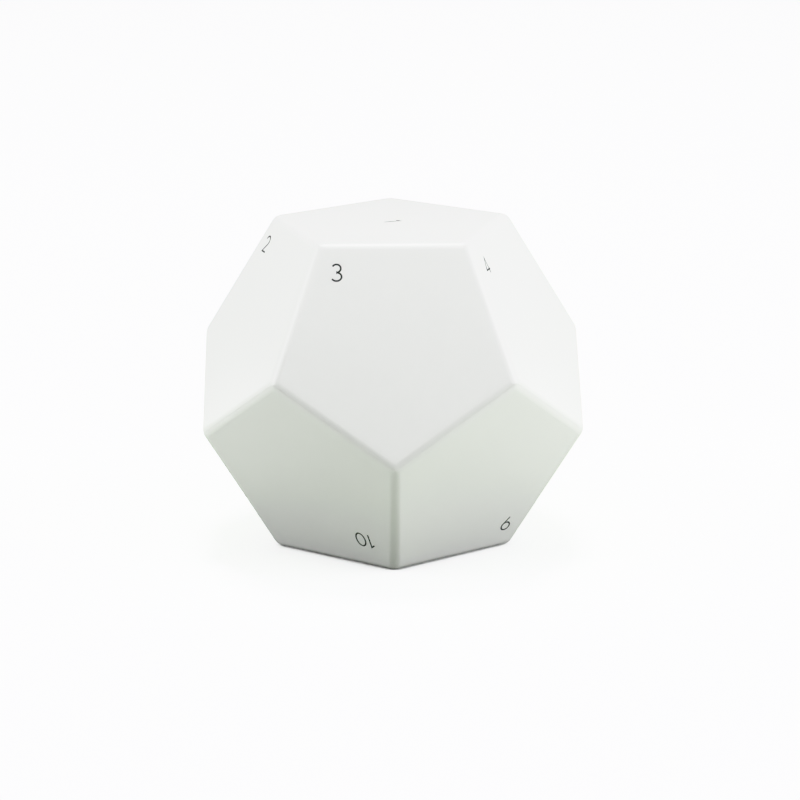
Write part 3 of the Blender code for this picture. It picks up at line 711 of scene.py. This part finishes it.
def make_cell(node, direction, materials):
    """An AA cell: wrap with a pale band, steel ends, a washer, and a nub in direction 1 or -1 along X."""
    low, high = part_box(node)
    length = high.x - low.x
    radius = (high.z - low.z) / 2
    can = length - 1.15 * MM
    matrix = Matrix.Translation(middle(node)) @ Matrix.Rotation(direction * math.pi / 2, 4, "Y")
    matrix = matrix @ Matrix.Translation((0, 0, -length / 2))
    band_start, band_end = can * 0.80, can * 0.93
    film = 0.04 * MM
    lip = radius - 1.1 * MM
    lower = [(lip, MM), (lip, 0.12 * MM), (radius - 0.6 * MM, 0), (radius - 0.2 * MM, 0.2 * MM)]
    lower += [(radius, 0.6 * MM), (radius, band_start)]
    band = [(radius - film, band_start), (radius - film, band_end)]
    upper = [(radius, band_end), (radius, can - 0.8 * MM), (radius - 0.25 * MM, can - 0.3 * MM)]
    upper += [(radius - 0.8 * MM, can), (radius - 1.3 * MM, can - 0.1 * MM)]
    cup = [(0, 0.25 * MM), (2.5 * MM, 0.25 * MM), (3 * MM, 0.05 * MM), (5.2 * MM, 0.05 * MM)]
    cup += [(5.8 * MM, 0.25 * MM), (5.8 * MM, MM)]
    washer = [(5.8 * MM, can - 0.3 * MM), (5.8 * MM, can + 0.02 * MM), (5.4 * MM, can + 0.06 * MM)]
    washer += [(3.2 * MM, can + 0.06 * MM)]
    nub = 2.75 * MM
    button = [(nub, can), (nub, length - 0.5 * MM), (nub - 0.15 * MM, length - 0.18 * MM)]
    button += [(nub - 0.5 * MM, length), (0, length)]
    piece = Piece(node + "_body", *[materials[m] for m in ("wrap", "band", "can", "washer")])
    layers = ((lower, 96, 0), (band, 96, 1), (upper, 96, 0), (cup, 64, 2), (washer, 64, 3))
    for profile, segments, material in layers + ((button, 48, 2),):
        piece.add(turned(profile, segments=segments), material, matrix=matrix)
    piece.finish(node, node)


def make_spring(node, side, materials):
    """A conical contact spring: a flat base turn, then coils that narrow towards the cell."""
    low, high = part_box(node)
    wire = 0.35 * MM
    y, z = middle(node).y, CENTRE.z
    base_radius, tip_radius = 4.2 * MM, 2.4 * MM
    base, tip = (high.x, low.x) if side > 0 else (low.x, high.x)
    base -= side * wire
    tip += side * wire
    turns, per_turn = 3.6, 36
    count = int(turns * per_turn)
    path = []
    for k in range(count + 1):
        share = k / count
        climb = max(0.0, (share - 0.16) / 0.84)
        angle = 2 * math.pi * turns * share
        radius = base_radius + climb * (tip_radius - base_radius)
        x = base + climb * (tip - base)
        path.append((x, y + radius * math.cos(angle), z + radius * math.sin(angle)))
    piece = Piece(node + "_coil", materials["wire"])
    piece.add(tube(path, wire))
    piece.finish("lower_half", node)


def plate_matrix(x, y):
    """Return the matrix from a contact's own axes (x along Y, y up, z towards the cells) to the world."""
    towards = -1 if x > 0 else 1
    turn = Matrix(((0, 0, towards, x), (1, 0, 0, y), (0, 1, 0, CENTRE.z), (0, 0, 0, 1)))
    return turn


def make_contact(node, bumps, clips, materials):
    """A stamped contact plate with round corners, pressed bumps for nubs and clips for spring bases."""
    low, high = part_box(node)
    side = 1 if low.x > 0 else -1
    outer = high.x if side > 0 else low.x
    thickness = 0.4 * MM
    y = middle(node).y
    half = (high.y - low.y) / 2
    matrix = plate_matrix(outer, y)
    bottom = -6 * MM
    top = high.z - CENTRE.z
    piece = Piece(node + "_plate", materials["steel"], materials["solder"])
    outline = rounded_rectangle((-half, bottom), (half, top), 1.2 * MM)
    piece.add(prism(outline, 0, thickness), bevel=0.08 * MM, matrix=matrix)
    for place in bumps:
        dome = [(3.2 * MM, thickness - 0.1 * MM), (2.6 * MM, thickness + 0.12 * MM)]
        dome += [(1.4 * MM, thickness + 0.24 * MM), (0, thickness + 0.27 * MM)]
        piece.add(turned(dome, (place - y, 0)), matrix=matrix)
    for place in clips:
        for angle in (25, 155, 270):
            low_corner = (3.5 * MM, -0.8 * MM, thickness - 0.1 * MM)
            clip = block(low_corner, (4.9 * MM, 0.8 * MM, thickness + 0.12 * MM))
            turn = Matrix.Translation((place - y, 0, 0)) @ Matrix.Rotation(math.radians(angle), 4, "Z")
            piece.add(clip, bevel=0.06 * MM, matrix=matrix @ turn)
    if low.z < CENTRE.z - 10 * MM:
        leg_top = CENTRE.z + bottom + MM
        inner = outer - thickness
        foot_top = low.z + thickness
        leg = [(low.x, low.z), (outer, low.z), (outer, leg_top)]
        leg += [(inner, leg_top), (inner, foot_top), (low.x, foot_top)]
        piece.add(standing_plate(leg, 3 * MM, 0), bevel=0.08 * MM, matrix=Matrix.Translation((0, y, 0)))
        blob = [(2.1 * MM, low.z - 0.1 * MM), (1.7 * MM, low.z + 0.1 * MM), (1.2 * MM, low.z + 0.5 * MM)]
        piece.add(turned(blob + [(0, low.z + 0.55 * MM)], (low.x + 0.6 * MM, y), 32), 1)
    piece.finish("lower_half", node)


# ---------------------------------------------------------------- fasteners

def make_screw(node, head_up, materials):
    """A pan-head self-tapping screw with a cross recess and a thread."""
    low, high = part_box(node)
    centre = middle(node)
    head_radius = (high.x - low.x) / 2
    length = high.z - low.z
    shank = 1 * MM if head_up else 0.9 * MM
    head_height = 1.3 * MM if head_up else 1.2 * MM
    core = shank * 0.86
    profile = [(0, 0), (0.25 * MM, 0.05 * MM), (core, 1.0 * MM), (core, length - head_height)]
    profile += [(head_radius, length - head_height), (head_radius, length - 0.6 * MM)]
    profile += [(head_radius - 0.12 * MM, length - 0.3 * MM)]
    profile += [(head_radius - 0.5 * MM, length - 0.08 * MM)]
    profile += [(head_radius - 1.1 * MM, length), (0, length)]
    screw = solid(turned(profile, segments=40))
    for angle in (0, 90):
        wing = block((-1.25 * MM, -0.28 * MM, length - 0.75 * MM), (1.25 * MM, 0.28 * MM, length + MM))
        turn = Matrix.Rotation(math.radians(angle), 3, "Z")
        bmesh.ops.rotate(wing, cent=(0, 0, 0), matrix=turn, verts=wing.verts)
        combine(screw, solid(wing))
    if head_up:
        matrix = Matrix.Translation((centre.x, centre.y, low.z))
    else:
        matrix = Matrix.Translation((centre.x, centre.y, high.z)) @ Matrix.Rotation(math.pi, 4, "X")
    piece = Piece(node + "_pan_head", materials["zinc"])
    piece.add(taken_shape(screw), matrix=matrix)
    pitch, ridge = 0.55 * MM, 0.12 * MM
    turns = (length - head_height - 1.6 * MM) / pitch
    count = int(turns * 20)
    path = []
    for k in range(count + 1):
        point = polar(shank - ridge, 360 * turns * k / count, 1.0 * MM + pitch * turns * k / count)
        path.append(point)
    piece.add(tube(path, ridge, 4), matrix=matrix)
    piece.finish("lower_half", node)


# ---------------------------------------------------------------- circuit board

def board_traces(level, outward, seed, targets):
    """Return copper runs from each target towards the middle of the board, with 45 degree bends."""
    choose = random.Random(seed)
    runs = []
    for x, y in targets:
        for offset in (-0.5 * MM, 0.5 * MM):
            start = Vector((x + offset, y))
            bend = Vector((start.x, y * choose.uniform(0.45, 0.75)))
            slant = min(abs(bend.x), abs(bend.y)) * choose.uniform(0.3, 0.6)
            turn = Vector((math.copysign(slant, bend.x), math.copysign(slant, bend.y)))
            runs.append([start, bend, bend - turn, bend - turn - Vector((0, turn.y * 0.5))])
    bottom, top = sorted((level - outward * 0.02 * MM, level + outward * 0.03 * MM))
    return [strip(run, 0.3 * MM, bottom, top) for run in runs]


def make_board(materials):
    """The round board: drilled, with gold rings at its screws, masked copper runs and white legends."""
    low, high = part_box("circuit_board")
    screws = [middle(f"board_screw_{n}") for n in (1, 2, 3)]
    board = solid(turned([(high.x, low.z), (high.x, high.z)], segments=128))
    for place in screws:
        combine(board, solid(turned([(1.3 * MM, low.z - MM), (1.3 * MM, high.z + MM)], place, 32)))
    piece = Piece("board_disc", *[materials[m] for m in ("board", "gold", "copper", "legend", "solder")])
    piece.add(taken_shape(board), bevel=0.06 * MM, segments=1)
    skin = 0.03 * MM
    for level, outward in ((high.z, 1), (low.z, -1)):
        far = level + outward * skin
        for place in screws:
            loop = ((1.35 * MM, level), (2.4 * MM, level), (2.4 * MM, far), (1.35 * MM, far))
            piece.add(turned_ring(loop, place, 40), 1)
        edge = arc(0, 0, high.x - 0.8 * MM, high.x - 0.8 * MM, 0, 360, 120)
        piece.add(strip(edge, 0.25 * MM, *sorted((level - outward * skin, far))), 3)
    names = {high.z: "top_light", low.z: "bottom_light"}
    for level, name in names.items():
        outward = 1 if level == high.z else -1
        lights = [middle(f"{name}_{n}") for n in (1, 2, 3, 4)]
        targets = [(p.x, p.y) for p in lights]
        for run in board_traces(level, outward, 7, targets):
            piece.add(run, 2)
        for p in lights:
            corner = (p.x - 2.3 * MM, p.y - 1.8 * MM)
            outline = rounded_rectangle(corner, (p.x + 2.3 * MM, p.y + 1.8 * MM), 0.4 * MM)
            closed = outline + outline[:1]
            span = sorted((level - outward * skin, level + outward * skin))
            piece.add(strip(closed, 0.15 * MM, *span), 3)
    via_rows = random.Random(11)
    for _ in range(46):
        spot = polar(via_rows.uniform(4, 25) * MM, via_rows.uniform(0, 360))
        if min((spot.xy - p.xy).length for p in screws) < 3.4 * MM:
            continue
        for level, outward in ((high.z, 1), (low.z, -1)):
            far = level + outward * skin
            ring = ((0.15 * MM, level), (0.32 * MM, level), (0.32 * MM, far), (0.15 * MM, far))
            piece.add(turned_ring(ring, spot, 12), 1)
    piece.finish("lower_half", "circuit_board")


def make_light(node, outward, materials):
    """A surface-mount LED: white body, round phosphor window and two tinned ends."""
    low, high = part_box(node)
    centre = middle(node)
    piece = Piece(node + "_package", *[materials[m] for m in ("ceramic", "phosphor", "solder")])
    size = (high - low) / 2
    matrix = Matrix.Translation(centre) @ Matrix.Rotation(0 if outward > 0 else math.pi, 4, "X")
    x, y, z = size
    piece.add(block((-x + 0.25 * MM, -y, -z), (x - 0.25 * MM, y, z)), 0, 0.12 * MM, matrix)
    window = [(1.15 * MM, z - 0.2 * MM), (1.15 * MM, z + 0.02 * MM)]
    window += [(0.9 * MM, z + 0.06 * MM), (0, z + 0.08 * MM)]
    piece.add(turned(window, segments=32), 1, matrix=matrix)
    for side in (-1, 1):
        near, far = sorted((side * (x - 0.5 * MM), side * x))
        end = block((near, -y + 0.3 * MM, -z), (far, y - 0.3 * MM, z * 0.2))
        piece.add(end, 2, 0.08 * MM, matrix)
    piece.finish("lower_half", node)


def make_package(node, name, main, ends, materials, inset=0.0, bevel=0.12 * MM):
    """A chip under the board: a body, tinned ends or pads, and a pin-one dot."""
    low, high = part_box(node)
    piece = Piece(name, materials[main], materials["solder"], materials["legend"])
    piece.add(block((low.x + inset, low.y, low.z), (high.x - inset, high.y, high.z)), 0, bevel)
    middle_y = (low.y + high.y) / 2
    for sign, x in ((1, low.x), (-1, high.x)):
        for k in range(ends):
            share = (k + 0.5) / ends
            y = low.y + (high.y - low.y) * share
            half = (high.y - low.y) / ends * (0.40 if ends == 1 else 0.24)
            near, far = sorted((x, x + sign * max(inset * 2, 0.35 * MM)))
            piece.add(block((near, y - half, high.z - 0.5 * MM), (far, y + half, high.z)), 1, 0.05 * MM)
    dot = ((0.22 * MM, low.z + 0.1 * MM), (0.22 * MM, low.z - 0.015 * MM))
    spot = (low.x + inset + 0.7 * MM, middle_y if ends == 1 else low.y + 0.7 * MM)
    piece.add(turned(dot, spot, 20), 2)
    piece.finish("lower_half", node)


def make_radio(materials):
    """The radio module's own small board with castellated pads, and its pressed shield can."""
    low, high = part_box("radio_module")
    piece = Piece("radio_board", materials["board"], materials["gold"])
    piece.add(block(low, high), 0, 0.05 * MM)
    for k in range(10):
        y = low.y + MM + k * (high.y - low.y - 2 * MM) / 9
        for x in (low.x, high.x):
            pad = turned([(0.36 * MM, low.z - 0.02 * MM), (0.36 * MM, high.z + 0.02 * MM)], (x, y), 16)
            piece.add(pad, 1)
    antenna_x = high.x - 1.4 * MM
    turns = []
    for k in range(7):
        y = low.y + 1.6 * MM + k * 1.4 * MM
        ends = [(antenna_x - 0.5 * MM, y), (antenna_x + 0.6 * MM, y)]
        turns += ends if k % 2 else ends[::-1]
    piece.add(strip(turns, 0.3 * MM, low.z - 0.03 * MM, low.z + 0.02 * MM), 1)
    piece.finish("lower_half", "radio_module")

    low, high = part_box("radio_shield")
    piece = Piece("radio_can", materials["shield"], materials["chip"])
    outline = rounded_rectangle((low.x, low.y), (high.x, high.y), 0.6 * MM)
    piece.add(prism(outline, low.z, high.z), 0, 0.2 * MM)
    # painted shade: each vent hole is a flat black disc on the can's face, standing for the dark inside of a
    # hole
    for column in range(4):
        for row in range(3):
            spot = (low.x + (column + 1) * (high.x - low.x) / 5, low.y + (row + 1) * (high.y - low.y) / 4)
            vent_shade_disc = ((0.4 * MM, low.z + 0.1 * MM), (0.4 * MM, low.z - 0.01 * MM))
            piece.add(turned(vent_shade_disc, spot, 20), 1)
    piece.finish("lower_half", "radio_shield")


def make_switch(materials):
    """The pairing switch: moulded body, pressed steel cover and four legs; then its plunger."""
    low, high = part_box("switch_body")
    centre = middle("switch_body")
    plunger_low, plunger_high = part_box("switch_plunger")
    bore = 1.35 * MM
    body = solid(block(low, (high.x, high.y, high.z - 0.3 * MM)))
    combine(body, solid(turned([(bore, plunger_low.z - 0.7 * MM), (bore, high.z + MM)], centre)))
    cover = solid(block((low.x, low.y, high.z - 0.28 * MM), high))
    combine(cover, solid(turned([(bore + 0.1 * MM, low.z), (bore + 0.1 * MM, high.z + MM)], centre)))
    piece = Piece("switch_case", materials["chip"], materials["shield"], materials["solder"])
    piece.add(taken_shape(body), 0, 0.08 * MM, segments=1)
    piece.add(taken_shape(cover), 1, 0.05 * MM, segments=1)
    for side_x in (-1, 1):
        for side_y in (-1, 1):
            x = centre.x + side_x * (high.x - low.x) / 2
            y = centre.y + side_y * 1.4 * MM
            corner = (x - 0.25 * MM, y - 0.35 * MM, low.z - 0.1 * MM)
            leg = block(corner, (x + 0.25 * MM, y + 0.35 * MM, low.z + 0.25 * MM))
            piece.add(leg, 2, 0.05 * MM)
    piece.finish("lower_half", "switch_body")

    piece = Piece("switch_stem", materials["rubber"])
    radius = (plunger_high.x - plunger_low.x) / 2
    profile = [(radius, plunger_low.z), (radius, plunger_high.z - 0.25 * MM)]
    profile += [(radius - 0.25 * MM, plunger_high.z), (0, plunger_high.z)]
    piece.add(turned(profile, centre))
    piece.finish("pairing_button", "switch_plunger")


def make_button(materials):
    low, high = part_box("pairing_button")
    flange = (high.x - low.x) / 2
    stem = 1.6 * MM
    profile = [(flange - 0.1 * MM, low.z), (flange, low.z + 0.1 * MM), (flange, low.z + 0.5 * MM)]
    profile += [(flange - 0.1 * MM, low.z + 0.6 * MM), (stem + 0.15 * MM, low.z + 0.6 * MM)]
    profile += [(stem, low.z + 0.8 * MM), (stem, high.z - 0.4 * MM)]
    profile += [(stem - 0.12 * MM, high.z - 0.12 * MM), (stem - 0.4 * MM, high.z)]
    profile += [(stem - 0.7 * MM, high.z - 0.08 * MM), (0, high.z - 0.2 * MM)]
    piece = Piece("pairing_button_cap", materials["rubber"])
    piece.add(turned(profile, middle("pairing_button")))
    piece.finish("pairing_button", "pairing_button")


def make_inside(materials):
    """Dress every piece that the closed skin hides."""
    make_collar(materials)
    make_tray(materials)
    make_cell("front_cell", 1, materials)
    make_cell("rear_cell", -1, materials)
    make_spring("front_cell_spring", -1, materials)
    make_spring("rear_cell_spring", 1, materials)
    front_y, rear_y = middle("front_cell").y, middle("rear_cell").y
    make_contact("positive_contact", [front_y], [], materials)
    make_contact("negative_contact", [], [rear_y], materials)
    make_contact("bridge_contact", [rear_y], [front_y], materials)
    for number in (1, 2, 3):
        make_screw(f"chassis_screw_{number}", True, materials)
        make_screw(f"board_screw_{number}", False, materials)
    make_board(materials)
    for number in (1, 2, 3, 4):
        make_light(f"top_light_{number}", 1, materials)
        make_light(f"bottom_light_{number}", -1, materials)
    make_package("motion_sensor", "motion_chip", "chip", 4, materials, bevel=0.05 * MM)
    make_package("crystal", "crystal_can", "shield", 1, materials, bevel=0.3 * MM)
    make_package("boost_inductor", "inductor_block", "chip", 1, materials, 0.1 * MM, 0.35 * MM)
    make_package("tank_capacitor", "capacitor_block", "epoxy", 1, materials, 0.15 * MM)
    make_radio(materials)
    make_switch(materials)
    make_button(materials)


# ---------------------------------------------------------------- stage

VIEW_TRANSFORM = "Khronos PBR Neutral"

# Camera: the direction it looks from in degrees, its distance, roll, lens and shift
VIEW_AZIMUTH = -0.73
VIEW_ELEVATION = 14.89
VIEW_ROLL = -0.23
VIEW_DISTANCE = 0.7285
LENS = 147.1
LENS_SHIFT = (0.00961, -0.02600)

FLOOR_HALF = 6
FLOOR_THICKNESS = 10 * MM
FLOOR_CLEARANCE = 0.02 * MM
FLOOR_SEEN = (3.2, 3.2, 3.2, 1)  # the floor's albedo for the camera: it burns out to white
FLOOR_CAST = (0.368, 0.413, 0.326, 1)  # and for the light that it sends back onto the object

PAINTED_SHADOW_REACH = 18 * MM  # how far the painted contact shadow on the floor reaches from where the object stands
PAINTED_SHADOW_SHARE = 0.35  # and what is left of the floor's albedo under that painted shadow in a closed corner

BACKDROP_SEEN = 5.0  # strength of the white surround, as the camera sees it
BACKDROP_SHINE = 0.35  # and as glossy surfaces reflect it

COOL = (1.0, 0.985, 1.035)

# Name: azimuth, elevation, distance, diameter, power in watts, colour unless white
LIGHTS = {
    "top": (180, 80, 1.2, 0.35, 10.6),
    "left": (-70, 5, 1.2, 0.9, 13.4, COOL),
    "right": (70, 5, 1.2, 0.9, 18.5, COOL),
    "left_high": (-80, 37, 1.2, 0.4, 4.0),
    "right_high": (80, 37, 1.2, 0.4, 4.0),
    "back": (180, 25, 1.2, 0.9, 1.16),
    "left_near": (-115, 0, 0.15, 0.05, 0.0134),
    "right_near": (115, 0, 0.15, 0.05, 0.0199),
}


def look(azimuth, elevation):
    """Return the unit vector from the object towards a viewer; azimuth 0 is the front (-Y)."""
    a, e = math.radians(azimuth), math.radians(elevation)
    return Vector((math.sin(a) * math.cos(e), -math.cos(a) * math.cos(e), math.sin(e)))


def make_camera():
    data = bpy.data.cameras.new("camera")
    data.lens = LENS
    data.sensor_width = 36
    data.shift_x, data.shift_y = LENS_SHIFT
    data.clip_start = 0.05
    data.clip_end = 20
    camera = bpy.data.objects.new("camera", data)
    back = look(VIEW_AZIMUTH, VIEW_ELEVATION)
    camera.location = CENTRE + back * VIEW_DISTANCE
    camera.rotation_mode = "QUATERNION"
    roll = Matrix.Rotation(math.radians(VIEW_ROLL), 4, "Z").to_quaternion()
    camera.rotation_quaternion = (-back).to_track_quat("-Z", "Y") @ roll
    bpy.context.scene.collection.objects.link(camera)
    bpy.context.scene.camera = camera


def make_area(name, azimuth, elevation, distance, size, power, colour=(1, 1, 1)):
    data = bpy.data.lights.new(name, "AREA")
    data.shape = "DISK"
    data.size = size
    data.energy = power
    data.color = colour
    light = bpy.data.objects.new(name, data)
    light.visible_camera = False
    direction = look(azimuth, elevation)
    light.location = CENTRE + direction * distance
    light.rotation_mode = "QUATERNION"
    light.rotation_quaternion = direction.to_track_quat("Z", "Y")
    bpy.context.scene.collection.objects.link(light)


def make_world():
    """Make a white surround for the camera and glossy reflections, which lights nothing otherwise."""
    world = bpy.data.worlds.new("studio")
    bpy.context.scene.world = world
    world.use_nodes = True
    tree = world.node_tree
    background = tree.nodes["Background"]
    background.inputs["Color"].default_value = (1, 1, 1, 1)
    path = tree.nodes.new("ShaderNodeLightPath")
    seen = tree.nodes.new("ShaderNodeMath")
    seen.operation = "MULTIPLY"
    seen.inputs[1].default_value = BACKDROP_SEEN
    shine = tree.nodes.new("ShaderNodeMath")
    shine.operation = "MULTIPLY_ADD"
    shine.inputs[1].default_value = BACKDROP_SHINE
    tree.links.new(path.outputs["Is Camera Ray"], seen.inputs[0])
    tree.links.new(path.outputs["Is Glossy Ray"], shine.inputs[0])
    tree.links.new(seen.outputs["Value"], shine.inputs[2])
    tree.links.new(shine.outputs["Value"], background.inputs["Strength"])


def make_floor():
    """Make a plain pale floor with a painted contact shadow: an occlusion node darkens its albedo near the
    object. It reflects less light onto the object than the camera sees.
    """
    shader = Shader("floor_white", (0.8, 0.8, 0.8), 0.9)
    path = shader.node("ShaderNodeLightPath").outputs["Is Camera Ray"]
    pale = shader.node("ShaderNodeMixRGB", Fac=path, Color1=FLOOR_CAST, Color2=FLOOR_SEEN)
    # painted shadow: ambient occlusion darkens the floor's colour near the object, both as the camera sees it
    # and in the light it sends back
    occlusion = shader.node("ShaderNodeAmbientOcclusion", Distance=PAINTED_SHADOW_REACH)
    occlusion.samples = 8
    painted_shadow = shader.node("ShaderNodeMapRange", Value=occlusion.outputs["AO"], To_Min=PAINTED_SHADOW_SHARE, To_Max=1.0)
    factor = painted_shadow.outputs["Result"]
    pale_with_painted_shadow = shader.node("ShaderNodeMixRGB", Fac=1.0, Color1=pale.outputs["Color"], Color2=factor)
    pale_with_painted_shadow.blend_type = "MULTIPLY"
    diffuse = shader.node("ShaderNodeBsdfDiffuse", Color=pale_with_painted_shadow.outputs["Color"])
    output = shader.tree.nodes["Material Output"]
    shader.tree.links.new(diffuse.outputs["BSDF"], output.inputs["Surface"])
    piece = Piece("floor", shader.material)
    level = CAD_LOW.z - FLOOR_CLEARANCE
    piece.add(block((-FLOOR_HALF, -FLOOR_HALF, level - FLOOR_THICKNESS), (FLOOR_HALF, FLOOR_HALF, level)))
    piece.object()


def main():
    bpy.context.scene.view_settings.view_transform = VIEW_TRANSFORM
    materials = make_materials()
    make_skin("upper_skin", 1, "upper_shell", "upper_half", collar_fins(), materials)
    make_skin("lower_skin", -1, "lower_shell", "lower_half", screw_posts(), materials)
    for number in range(1, 13):
        make_numeral(number, materials["ink"])
    make_inside(materials)
    make_floor()
    make_world()
    for name, values in LIGHTS.items():
        make_area(name, *values)
    make_camera()
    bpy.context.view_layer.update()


main()
